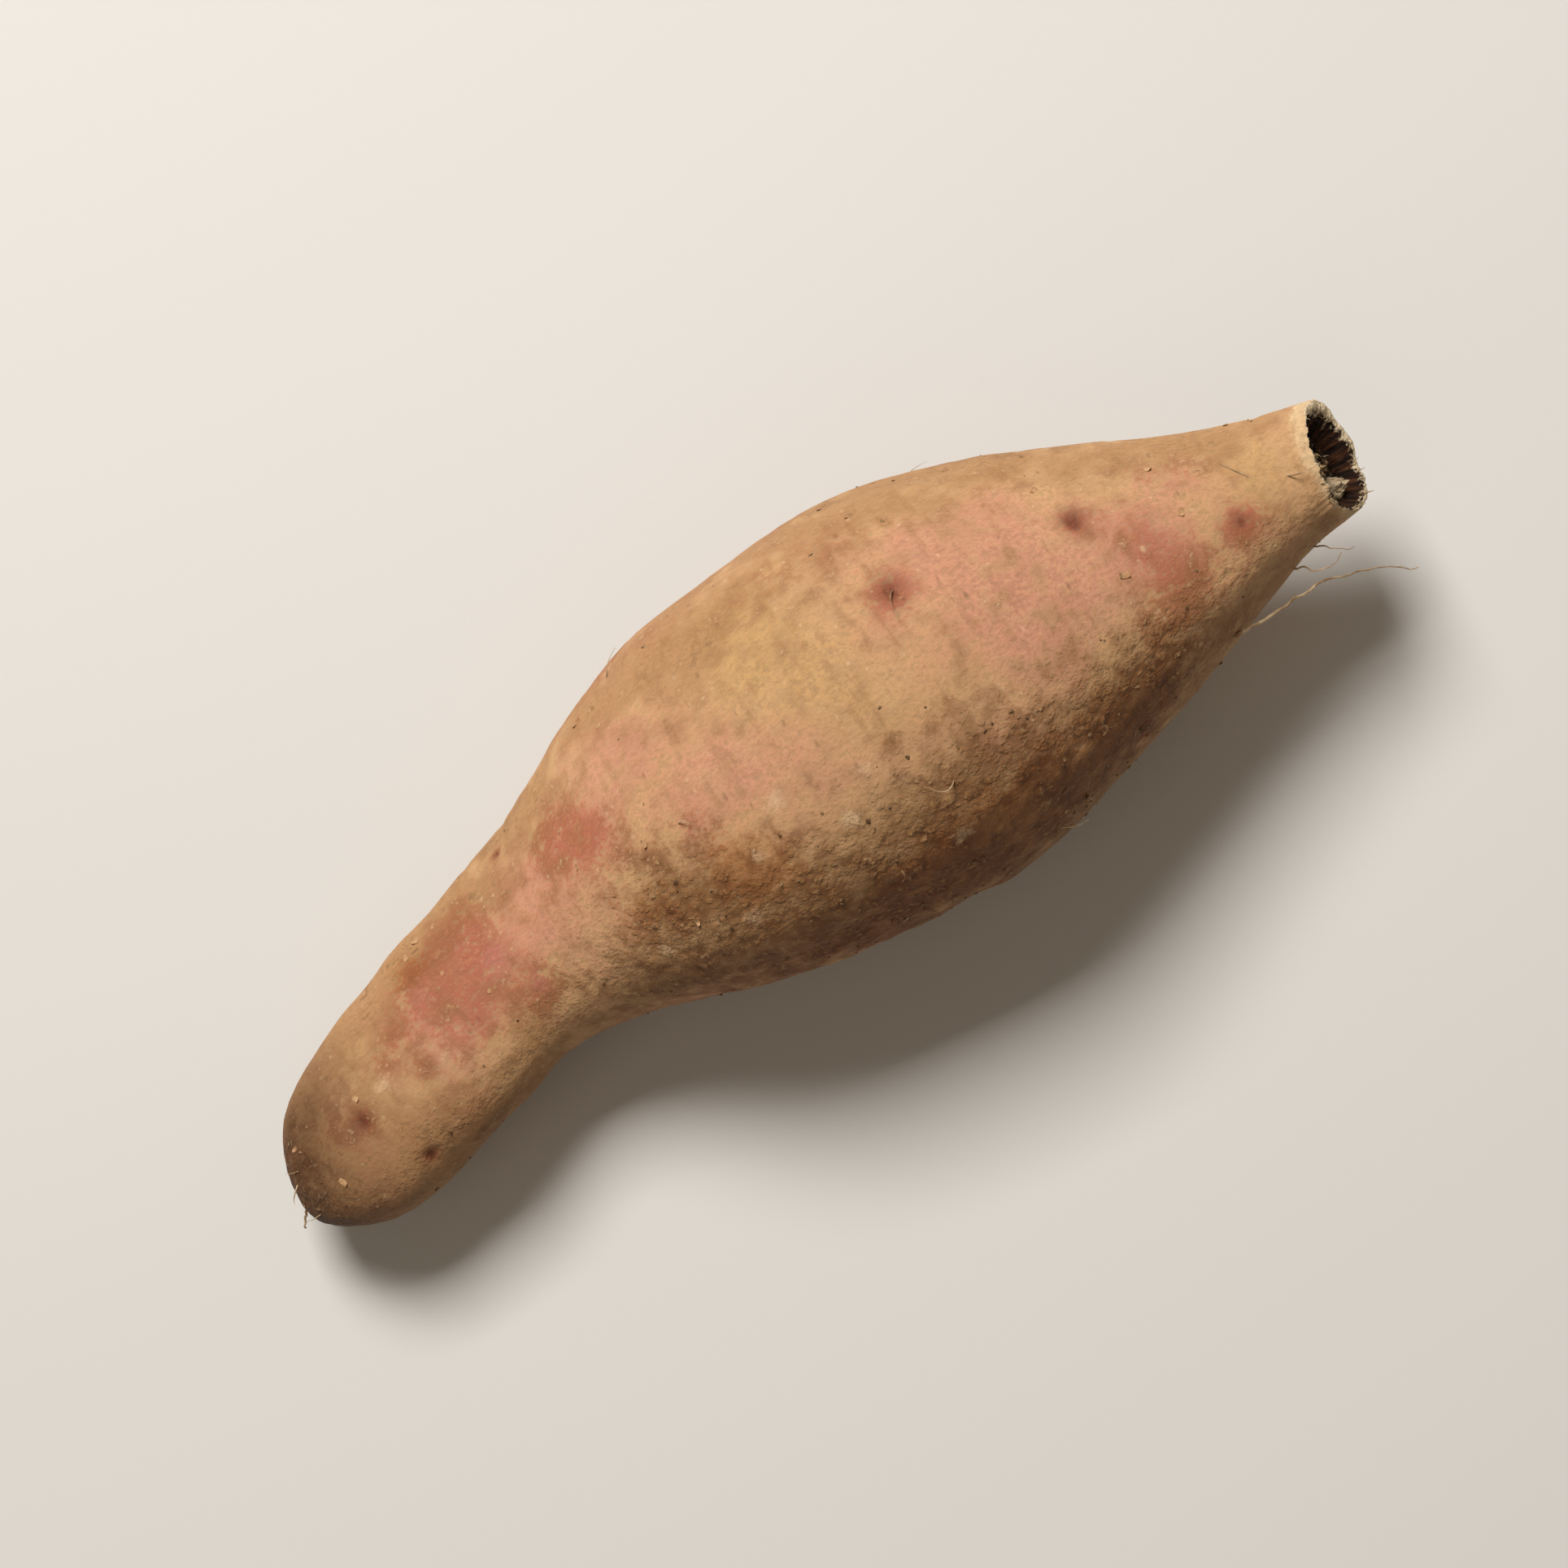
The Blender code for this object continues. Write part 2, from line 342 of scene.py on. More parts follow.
def read(mesh, what):
    values = np.zeros(len(mesh.vertices) * 3)
    mesh.vertices.foreach_get(what, values)
    return values.reshape(-1, 3)


def writeAttribute(mesh, name, values, domain="POINT"):
    kind, key = ("FLOAT_VECTOR", "vector") if values.ndim == 2 else ("FLOAT", "value")
    attribute = mesh.attributes.get(name) or mesh.attributes.new(name, kind, domain)
    attribute.data.foreach_set(key, values.astype(np.float32).ravel())


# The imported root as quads, and where its crown was cut

def rootCopy(name):
    mesh = bmesh.new()
    mesh.from_mesh(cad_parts["sweet_potato"].data)
    bmesh.ops.remove_doubles(mesh, verts=mesh.verts, dist=0.01 * mm)
    bend, skew = math.radians(70), math.radians(150)  # the most that two joined triangles may have
    bmesh.ops.join_triangles(
        mesh, faces=mesh.faces, angle_face_threshold=bend, angle_shape_threshold=skew)
    data = bpy.data.meshes.new(name)
    mesh.to_mesh(data)
    mesh.free()
    return newPiece(name, data)


def newPiece(name, data):
    piece = bpy.data.objects.new(name, data)
    bpy.context.scene.collection.objects.link(piece)
    return piece


cutFaces = {"within": 12, "facing": 0.62}  # mm from the crown's end, and the least x of a normal


def crownPlane(mesh):
    # The faces of the cut, its middle, its direction and its radius. First come the faces
    # that look along the root, and then the walls round them
    least = cutFaces["facing"]
    faces = [f for f in mesh.polygons if f.center.x > cadHigh.x - cutFaces["within"] * mm]
    facing = [f for f in faces if f.normal.x > least]
    normal = sum((f.normal * f.area for f in facing), Vector()).normalized()
    centre = sum((f.center * f.area for f in facing), Vector()) / sum(f.area for f in facing)
    facing += [f for f in faces if f.normal.x <= least and f.normal.dot(f.center - centre) < 0]
    across = sum(f.area * f.normal.dot(normal) for f in facing)
    return facing, centre, normal, math.sqrt(across / math.pi)


def crownPlaces(points):
    # In mm: sideways and upwards on the cut, and how far behind it
    offset = points - np.array(crownCentre)
    return np.stack([offset @ crownSide, offset @ crownUp, -(offset @ crownNormal)], 1) / mm


skin = rootCopy("skin")
middleLine = findMiddleLine(read(skin.data, "co"))
crownFaces, crownCentre, crownNormal, crownRadius = crownPlane(skin.data)
crownSide = Vector((0, 0, 1)).cross(crownNormal).normalized()
crownUp = crownNormal.cross(crownSide)
rimAt = crownRadius / mm
crownStart = cadHigh.x - 14 * mm  # no point of the cut is farther back
print(f"crown: {len(crownFaces)} faces, radius {rimAt:.1f} mm")


def markPlaces(mesh):
    points = read(mesh, "co")
    places = placesOn(points)
    writeAttribute(mesh, "straight", straightened(points))
    writeAttribute(mesh, "cut", crownPlaces(points))
    writeAttribute(mesh, "soiled", np.clip(zoneOf(places, "soiled"), 0, 1))
    return points, places


def markCrown(mesh):
    # The faces of the cut, and the edges round it, which stay sharp
    onCrown = np.zeros(len(mesh.polygons))
    onCrown[[f.index for f in crownFaces]] = 1
    writeAttribute(mesh, "onCrown", onCrown, "FACE")
    seen = {}
    for face in crownFaces:
        for key in face.edge_keys:
            seen[key] = seen.get(key, 0) + 1
    onRim = np.array([seen.get(edge.key, 0) == 1 for edge in mesh.edges], float)
    writeAttribute(mesh, "rimEdge", onRim, "EDGE")


markPlaces(skin.data)
markCrown(skin.data)


# Materials

skinColours = {
    "tan": paint(211, 168, 121),
    "pink": paint(211, 155, 123),
    "rose": paint(180, 102, 76),
    "purple": paint(196, 126, 112),
    "gold": paint(207, 168, 111),
    "dust": paint(204, 166, 124),
    "brown": paint(150, 101, 58),
    # soil: soil brown, also used as painted shade on the lower side
    "soil": paint(127, 83, 46),
    "umber": paint(90, 58, 30),
    "scab": paint(142, 98, 62),
    "clay": paint(182, 147, 98),
    "eye": paint(112, 54, 36),
    "paleSpeck": paint(232, 204, 164),
    "paleSpot": paint(222, 190, 150),
    # tailStainAndShade: darkens the tail, a soil stain that is also painted shade
    "tailStainAndShade": paint(112, 92, 72),
    "rust": paint(240, 219, 199),
    "rim": paint(222, 194, 152),
}


skinLook = {
    # sizes in mm
    "grain": 0.9, "mottle": 3.6, "wrinkles": 1.7, "clods": 1.5,
    "slits": {"Spacing": 2.6, "Radius": 0.13, "Share": 0.45, "Shift": 2.0},
    "points": {"Spacing": 1.9, "Radius": 0.20, "Share": 0.4, "Shift": 13.0},
}

fieldEdges = {
    # field: the value where its colour starts, where it is full, and how ragged its edge is
    "pinkness": (0.15, 0.85, 0.6), "golden": (0.2, 0.9, 0.8), "rosy": (0.15, 1.1, 1.5),
    "purple": (0.3, 0.9, 0.8), "brownnessAndShade": (0.25, 1.1, 1.0), "soil": (-0.05, 1.30, 1.1),
    "rusty": (0.2, 0.95, 0.8), "pale": (0.25, 0.85, 0.7), "tailStainAndShade": (-0.05, 1.2, 0.35),
    "rim": (0.15, 0.95, 1.0),
}

cover = {
    # layer: how much of what lies under it is hidden
    "golden": 0.75, "rosy": 0.85, "purple": 0.6, "brown": 0.5, "scab": 0.5, "slits": 0.32,
    "points": 0.35, "soil": 0.80,"pale": 0.6, "eyeMiddle": 0.80, "tailStainAndShade": 0.82, "rim": 0.8,
}

ramps = {
    # where it starts and ends, and its values there where they aren't 0 and 1
    "film": (0.47, 0.58), "scab": (0.32, 0.37, 1.0, 0.0),
    "crease": (0.28, 0.54, 1.0, 0.0), "creaseCover": (0.4, 0.6, 0.12, 0.34),
    "lumpy": (0.40, 0.60, 0.25, 1.0), "clay": (0.48, 0.62), "clayCover": (0.42, 0.60, 0.15, 0.6),
    "gapCover": (0.36, 0.62, 0.65, 0.1),
    "eyeMiddle": (0.15, 1.55, 1.0, 0.0), "eyeHollowShade": (0.6, 3.6, 0.30, 0.0),
    "grainShade": (0.28, 0.72, 0.86, 1.10), "mottleShade": (0.30, 0.70, 0.93, 1.06),
}

bumps = {"grain": 0.20, "soiledGrain": 0.18, "wrinkle": 0.30, "mottle": 0.42, "gaps": -0.20}  # in mm


def skinMaterial():
    material, tree, shader = newMaterial("sweetPotatoSkin", 0.75, 0.26)
    shader.inputs["Diffuse Roughness"].default_value = 0.8
    where = objectMm(tree)
    straight = fromMesh(tree, "straight", "Vector")
    grain = cloudy(tree, where, skinLook["grain"], 3.0, 0.7)
    mottle = cloudy(tree, where, skinLook["mottle"], 3.0, 0.62)
    grainPush = calc(tree, "MULTIPLY_ADD", grain, 0.9, -0.45)
    mottlePush = calc(tree, "MULTIPLY_ADD", mottle, 1.6, -0.8)
    loose = vectorCalc(tree, "ADD", where, joined(tree, mottlePush, grainPush, mottlePush))

    def ramp(value, name):
        return fade(tree, value, *ramps[name])

    def fieldMask(name):
        low, high, push = fieldEdges[name]
        ragged = times(tree, calc(tree, "ADD", mottlePush, grainPush), push)
        return fade(tree, calc(tree, "ADD", fromMesh(tree, name), ragged), low, high)

    def lay(colour, name, mask, *shares, blend="MIX"):
        mask = times(tree, mask, *shares) if shares else mask
        return mixed(tree, mask, colour, skinColours[name], blend)

    # Living skin: tan and pink in clouds, gold and rose where they grew
    colour = lay(skinColours["tan"], "pink", fieldMask("pinkness"))
    colour = lay(colour, "gold", fieldMask("golden"), cover["golden"])
    rosy = fieldMask("rosy")
    colour = lay(colour, "rose", rosy, cover["rosy"])
    colour = lay(colour, "purple", fieldMask("purple"), cover["purple"])

    # Dust dried on in thin scurfy films, brown clouds of rubbed-in soil,
    # painted shade in that brown on both flanks and towards the tail, and a few corky scabs
    scurf = calc(tree, "ADD", mottle, times(tree, grainPush, 0.16))
    colour = lay(colour, "dust", ramp(scurf, "film"), calc(tree, "MULTIPLY_ADD", rosy, -0.3, 0.45))
    brown = fieldMask("brownnessAndShade")
    colour = lay(colour, "brown", brown, cover["brown"])
    colour = lay(colour, "scab", ramp(scurf, "scab"), brown, cover["scab"])

    # Wrinkles that run round the root, with a little soil in them, and its lenticels, short dark slits
    stretched = vectorCalc(tree, "MULTIPLY", straight, (1.0, 0.2, 0.2))
    wrinkle = cloudy(tree, stretched, skinLook["wrinkles"], 2.0, 0.55)
    creased = calc(tree, "MULTIPLY_ADD", grainPush, 0.35, wrinkle)
    colour = lay(colour, "brown", ramp(creased, "crease"), ramp(mottle, "creaseCover"))
    stretched = vectorCalc(tree, "MULTIPLY", straight, (1.0, 0.4, 0.4))
    slits = useGroup(tree, specks, Where=stretched, **skinLook["slits"])
    colour = lay(colour, "umber", slits, cover["slits"])
    points = useGroup(tree, specks, Where=loose, **skinLook["points"])
    colour = lay(colour, "paleSpeck", points, cover["points"])

    # Soil worked into the skin, with painted shade along the lower side in the same colours:
    # brown, darker between lumps of pale clay
    soiled = fieldMask("soil")
    colour = lay(colour, "soil", soiled, cover["soil"])
    lumpy = times(tree, soiled, ramp(mottle, "lumpy"))
    gaps = times(tree, useGroup(tree, clods, Where=loose, Spacing=skinLook["clods"]), lumpy)
    onLumps = calc(tree, "SUBTRACT", 1.0, gaps)
    colour = lay(colour, "clay", ramp(grain, "clay"), soiled, onLumps, ramp(mottle, "clayCover"))
    colour = lay(colour, "umber", gaps, ramp(grain, "gapCover"))
    colour = lay(colour, "rust", fieldMask("rusty"), blend="MULTIPLY")
    colour = lay(colour, "paleSpot", fieldMask("pale"), cover["pale"])

    # Eyes: a dark dent with painted shade in the hollow round it; its red halo is in the rosy field
    eyeDistance = calc(tree, "ADD", fromMesh(tree, "eyeDistance"), times(tree, grainPush, 1.2))
    colour = lay(colour, "eye", ramp(eyeDistance, "eyeHollowShade"))
    colour = lay(colour, "eye", ramp(eyeDistance, "eyeMiddle"), cover["eyeMiddle"])

    # Tail darkened brown, partly a soil stain and partly painted shade at its end and on its flank;
    # dry rim at the crown
    colour = lay(colour, "tailStainAndShade", fieldMask("tailStainAndShade"), cover["tailStainAndShade"], blend="MULTIPLY")
    colour = lay(colour, "rim", fieldMask("rim"), cover["rim"])

    # Fine mottling over everything
    shade = times(tree, ramp(grain, "grainShade"), ramp(mottle, "mottleShade"))
    shade = add(tree, "ShaderNodeCombineColor", {0: shade, 1: shade, 2: shade}).outputs[0]
    colour = mixed(tree, 1.0, colour, shade, "MULTIPLY")

    tree.links.new(calc(tree, "MULTIPLY_ADD", grain, 0.3, 0.58), shader.inputs["Roughness"])
    height = times(tree, grain, calc(tree, "MULTIPLY_ADD", soiled, bumps["soiledGrain"], bumps["grain"]))
    for pattern, name in ((wrinkle, "wrinkle"), (mottle, "mottle"), (gaps, "gaps")):
        height = calc(tree, "MULTIPLY_ADD", pattern, bumps[name], height)
    finishMaterial(tree, shader, colour, height)
    return material


crownLook = {
    # heights, depth and the sizes and places of flap and tuft in mm;
    # how far from its middle the rest is, and how wide, as shares of its radius
    "depth": 3.0, "tear": 0.75, "lip": 0.40, "lipWidth": 0.16,
    "dish": 1.2, "dishEdge": 0.93, "lumps": 0.55,
    "fibreRing": 0.8, "ringAt": 0.50, "ringWidth": 0.12, "ringFibres": 11,
    "tuft": 3.0, "tuftAt": (-3.5, -2.6), "tuftSize": 1.4,
    "flap": 2.9, "flapAt": (0.2, 4.4), "flapSize": 3.2,
}

crownColours = {
    "pithAndShade": paint(24, 12, 6), "streak": paint(84, 50, 28), "ring": paint(190, 156, 114),
    "flap": paint(200, 168, 122), "tuft": paint(226, 200, 162), "rim": paint(236, 213, 176),
}

crownRamps = {
    "streak": (0.40, 0.70), "ringInside": (0.46, 0.54), "ringOutside": (0.56, 0.66, 1.0, 0.0),
    "ringPatches": (0.50, 0.62), "flap": (2.4, 3.6, 0.8, 0.0), "tuft": (1.3, 2.3, 0.9, 0.0),
    "rim": (0.87, 0.94),
}


def scarMaterial():
    # The dried cut: near-black pith, dark of its own and darkened as painted shade, with streaks
    # that run out from its middle, a torn flap of skin, a tuft of pale fibres, and a pale torn rim
    material, tree, shader = newMaterial("crownScar", 0.9, 0.2)
    where = objectMm(tree)
    parts = parted(tree, fromMesh(tree, "cut", "Vector"))
    onCut = joined(tree, parts[0], parts[1], 0.0)
    away = calc(tree, "DIVIDE", vectorCalc(tree, "LENGTH", onCut), rimAt)
    angle = calc(tree, "ARCTAN2", parts[1], parts[0])
    streaks = cloudy(tree, joined(tree, times(tree, angle, 3.2), away, 0.0), 0.45, 3.0, 0.6)
    rough = cloudy(tree, where, 0.9, 3.0, 0.65)
    ragged = calc(tree, "MULTIPLY_ADD", rough, 0.30, calc(tree, "MULTIPLY_ADD", streaks, 0.22, -0.26))
    away = calc(tree, "ADD", away, calc(tree, "MULTIPLY_ADD", parts[1], 0.05 / rimAt, ragged))

    def ramp(value, name):
        return fade(tree, value, *crownRamps[name])

    def patch(name, push):
        distance = vectorCalc(tree, "DISTANCE", onCut, (*crownLook[name + "At"], 0.0))
        return ramp(calc(tree, "MULTIPLY_ADD", ragged, push, distance), name)

    ring = times(tree, ramp(away, "ringInside"), ramp(away, "ringOutside"),
                 ramp(rough, "ringPatches"), 0.7)
    layers = {"streak": ramp(streaks, "streak"), "ring": ring, "flap": patch("flap", 3.0),
              "tuft": patch("tuft", 2.0), "rim": ramp(away, "rim")}
    colour = crownColours["pithAndShade"]
    for name, mask in layers.items():
        colour = mixed(tree, mask, colour, crownColours[name])
    height = calc(tree, "MULTIPLY_ADD", streaks, 0.5, times(tree, rough, 0.8))
    finishMaterial(tree, shader, colour, height)
    return material


def dryMaterial(name, low, high, size, bump, roughness=0.8):
    # For hairs, flakes, fibres and crumbs: two tones in clouds, with a fine grain
    material, tree, shader = newMaterial(name, roughness, 0.22)
    where = objectMm(tree)
    grain = cloudy(tree, where, size * 0.15, 3, 0.6)
    colour = mixed(tree, useGroup(tree, blotch, Where=where, Size=size, Low=0.35, High=0.65), low, high)
    colour = mixed(tree, times(tree, fade(tree, grain, 0.35, 0.7), 0.4), colour, low)
    finishMaterial(tree, shader, colour, times(tree, grain, bump))
    return material


crownScar = scarMaterial()
hairFibre = dryMaterial("rootHair", paint(144, 110, 76), paint(218, 192, 154), 3.0, 0.08, 0.65)
paleFibre = dryMaterial("crownFibre", paint(120, 92, 62), paint(206, 180, 142), 2.0, 0.1)
drySoil = dryMaterial("driedSoil", paint(92, 66, 44), paint(168, 136, 98), 2.2, 0.15, 0.95)
skinFlake = dryMaterial("skinFlake", paint(172, 126, 88), paint(212, 174, 130), 2.5, 0.06)


# Geometry Nodes: the relief of the skin, and what is scattered over it

def newTree(name, settings):
    tree = bpy.data.node_groups.new(name, "GeometryNodeTree")
    tree.interface.new_socket("Geometry", in_out="INPUT", socket_type="NodeSocketGeometry")
    for socketName, value in settings.items():
        kind = "NodeSocketInt" if isinstance(value, int) else "NodeSocketFloat"
        tree.interface.new_socket(socketName, in_out="INPUT", socket_type=kind).default_value = value
    tree.interface.new_socket("Geometry", in_out="OUTPUT", socket_type="NodeSocketGeometry")
    return tree, tree.nodes.new("NodeGroupInput").outputs, tree.nodes.new("NodeGroupOutput").inputs["Geometry"]


def named(tree, name, kind="FLOAT"):
    node = add(tree, "GeometryNodeInputNamedAttribute", {"Name": name}, data_type=kind)
    return node.outputs["Attribute"]


def position(tree):
    return tree.nodes.new("GeometryNodeInputPosition").outputs[0]


def moved(tree, mesh, offset):
    return add(tree, "GeometryNodeSetPosition", {"Geometry": mesh, "Offset": offset}).outputs[0]


def alongLine(tree):
    return tree.nodes.new("GeometryNodeSplineParameter").outputs["Factor"]


def tubeRound(tree, line, sides, radius):
    profile = add(tree, "GeometryNodeCurvePrimitiveCircle", {"Resolution": sides, "Radius": 1.0})
    wires = {"Curve": line, "Profile Curve": profile.outputs[0], "Scale": radius, "Fill Caps": True}
    return add(tree, "GeometryNodeCurveToMesh", wires).outputs[0]


def runTree(piece, tree, settings):
    modifier = piece.modifiers.new(tree.name, "NODES")
    modifier.node_group = tree
    for item in tree.interface.items_tree:
        if item.in_out == "INPUT" and item.name in settings:
            modifier[item.identifier] = settings[item.name]
    graph = bpy.context.evaluated_depsgraph_get()
    mesh = bpy.data.meshes.new_from_object(
        piece.evaluated_get(graph), preserve_all_data_layers=True, depsgraph=graph)
    piece.modifiers.remove(modifier)
    piece.data = mesh
    mesh.name = piece.name
    print(f"{piece.name}: {len(mesh.polygons)} faces")
    return piece


def finishTree(tree, geometry, output, material, otherMaterial=None, selection=None):
    geometry = add(tree, "GeometryNodeRealizeInstances", {"Geometry": geometry}).outputs[0]
    geometry = add(tree, "GeometryNodeSetMaterial", {"Geometry": geometry, "Material": material}).outputs[0]
    if otherMaterial:
        wires = {"Geometry": geometry, "Material": otherMaterial, "Selection": selection}
        geometry = add(tree, "GeometryNodeSetMaterial", wires).outputs[0]
    tree.links.new(geometry, output)


skinRelief = {
    "Level": 2,
    "Lump Size": 6.5, "Lump Height": 0.30,
    "Fold Pitch": 3.4, "Fold Reach": 15.0, "Fold Depth": 0.24,
    "Pit Spacing": 7.0, "Pit Depth": 0.35,
    "Crust Size": 2.3, "Crust Height": 0.55,
}


def reliefTree(skinPaint, scarPaint):
    tree, inputs, output = newTree("skinRelief", skinRelief)
    mesh = add(tree, "GeometryNodeSubdivisionSurface", {
        "Mesh": inputs["Geometry"], "Level": inputs["Level"],
        "Edge Crease": times(tree, named(tree, "rimEdge"), 0.85)}).outputs[0]
    straight = named(tree, "straight", "FLOAT_VECTOR")
    parts = parted(tree, straight)

    def wave(size, detail, roughness=0.5):
        spot = scaled(tree, straight, calc(tree, "DIVIDE", 1.0, size))
        return calc(tree, "SUBTRACT", cloudy(tree, spot, 1.0, detail, roughness), 0.5)

    lumps = times(tree, wave(inputs["Lump Size"], 2.0), inputs["Lump Height"])
    squeezed = joined(tree, calc(tree, "DIVIDE", parts[0], inputs["Fold Pitch"]),
                      calc(tree, "DIVIDE", parts[1], inputs["Fold Reach"]),
                      calc(tree, "DIVIDE", parts[2], inputs["Fold Reach"]))
    fold = times(tree, fade(tree, cloudy(tree, squeezed, 1.0, 1.0), 0.54, 0.74), inputs["Fold Depth"],
                 fade(tree, wave(26.0, 1.0), -0.08, 0.12, 0.25, 1.0))
    cells = add(tree, "ShaderNodeTexVoronoi", {
        "Vector": straight, "Scale": calc(tree, "DIVIDE", 1.0, inputs["Pit Spacing"])})
    chosen = calc(tree, "LESS_THAN", parted(tree, cells.outputs["Color"])[0], 0.4)
    hollow = fade(tree, cells.outputs["Distance"], 0.04, 0.17, 1.0, 0.0)
    pit = times(tree, hollow, chosen, inputs["Pit Depth"])
    crust = times(tree, wave(inputs["Crust Size"], 1.0, 0.55), inputs["Crust Height"],
                  fade(tree, named(tree, "soiled"), 0.15, 0.9, 0.12, 1.0))
    height = calc(tree, "SUBTRACT", calc(tree, "ADD", lumps, crust), calc(tree, "ADD", fold, pit))
    behindCut = parted(tree, named(tree, "cut", "FLOAT_VECTOR"))[2]
    height = times(tree, height, fade(tree, behindCut, 0.5, 3.0), mm)
    normal = tree.nodes.new("GeometryNodeInputNormal").outputs[0]
    mesh = aboveFloor(tree, moved(tree, mesh, scaled(tree, normal, height)))
    mesh = add(tree, "GeometryNodeSetShadeSmooth", {0: mesh, "Shade Smooth": True}).outputs[0]
    wires = {0: named(tree, "onCrown"), 1: 0.5}
    isCut = add(tree, "FunctionNodeCompare", wires, operation="GREATER_THAN")
    finishTree(tree, mesh, output, skinPaint, scarPaint, isCut.outputs[0])
    return tree


def aboveFloor(tree, mesh):
    x, y, z = parted(tree, position(tree))[:3]
    kept = joined(tree, x, y, calc(tree, "MAXIMUM", z, 0.0))
    return add(tree, "GeometryNodeSetPosition", {"Geometry": mesh, "Position": kept}).outputs[0]


def pressEyes(mesh):
    # Presses each eye in, under a low brow, and returns where it is, its radius and its halo's
    points, normals = read(mesh, "co"), read(mesh, "normal")
    places = placesOn(points)
    found = []
    for along, degrees, radius, halo, depth in eyes.values():
        centre = points[int(np.argmax(softPatch(places, along, degrees, 3.0, 3.0)))].copy()
        ahead = (places[0] - along) / radius
        near = np.linalg.norm(points - centre, axis=1) / mm / radius
        push = -depth * np.exp(-(near / 1.15) ** 2)
        push += 0.35 * depth * np.exp(-(near - 2.3) ** 2) * (0.6 + 0.4 * np.tanh(ahead))
        points = points + normals * push[:, None] * mm
        found.append((centre / mm, radius, halo))
    mesh.vertices.foreach_set("co", points.ravel())
    mesh.update()
    return found


def roughenCrown(mesh):
    # A torn rim, and the cut dished inside it, with a ring of fibres among lumps, a flap and a tuft
    look = crownLook
    points = read(mesh, "co")
    cut = crownPlaces(points)
    away = np.hypot(cut[:, 0], cut[:, 1]) / rimAt

    def hill(distance, width):
        return math.exp(-((distance / width) ** 2))

    def hillAt(place, name):
        return hill(math.dist(place[:2], look[name + "At"]), look[name + "Size"])

    for i in np.nonzero((abs(cut[:, 2]) < 2 * look["depth"]) & (points[:, 0] > crownStart))[0]:
        angle = math.atan2(cut[i, 1], cut[i, 0])
        ways = Vector((math.cos(angle), math.sin(angle), 0.2))
        tear = 0.7 * noise.noise(ways * 4.0) + 0.7 * noise.noise(ways * 12.0)
        tear += 0.5 * noise.noise(ways * 25.0)
        inside = max(0.0, min(1.0, (look["dishEdge"] - away[i]) * 6))
        lumps = noise.noise(Vector(cut[i]) * 0.9) + 0.6 * noise.noise(Vector(cut[i]) * 2.0)
        fibres = hill(away[i] - look["ringAt"], look["ringWidth"])
        fibres *= 0.5 + 0.5 * math.sin(angle * look["ringFibres"] + 4 * tear)
        tuft = hillAt(cut[i], "tuft")
        tuft *= 0.85 + 0.4 * lumps + 0.7 * noise.noise(Vector((cut[i, 0], cut[i, 1], 4.0)) * 2.8)
        flap = hillAt(cut[i], "flap")
        move = hill(away[i] - 1.0, look["lipWidth"]) * (look["lip"] + look["tear"] * tear)
        move += inside * (look["lumps"] * lumps + look["fibreRing"] * fibres - look["dish"])
        move += look["tuft"] * tuft + look["flap"] * flap * (1 + 0.4 * lumps)
        points[i] += np.array(crownNormal) * hill(cut[i, 2], look["depth"]) * move * mm
    points[:, 2] = np.maximum(points[:, 2], 0)
    mesh.vertices.foreach_set("co", points.ravel())
    mesh.update()


# Clouds that break up the fields: size in mm, seed
fieldClouds = {"wide": (22.0, 1), "middling": (9.0, 2), "small": (4.5, 3), "patches": (13.0, 5)}
eyeStretch = (1.25, 0.9, 0.9)  # eyes are shorter along the root than across it
farFromEyes = 4.0


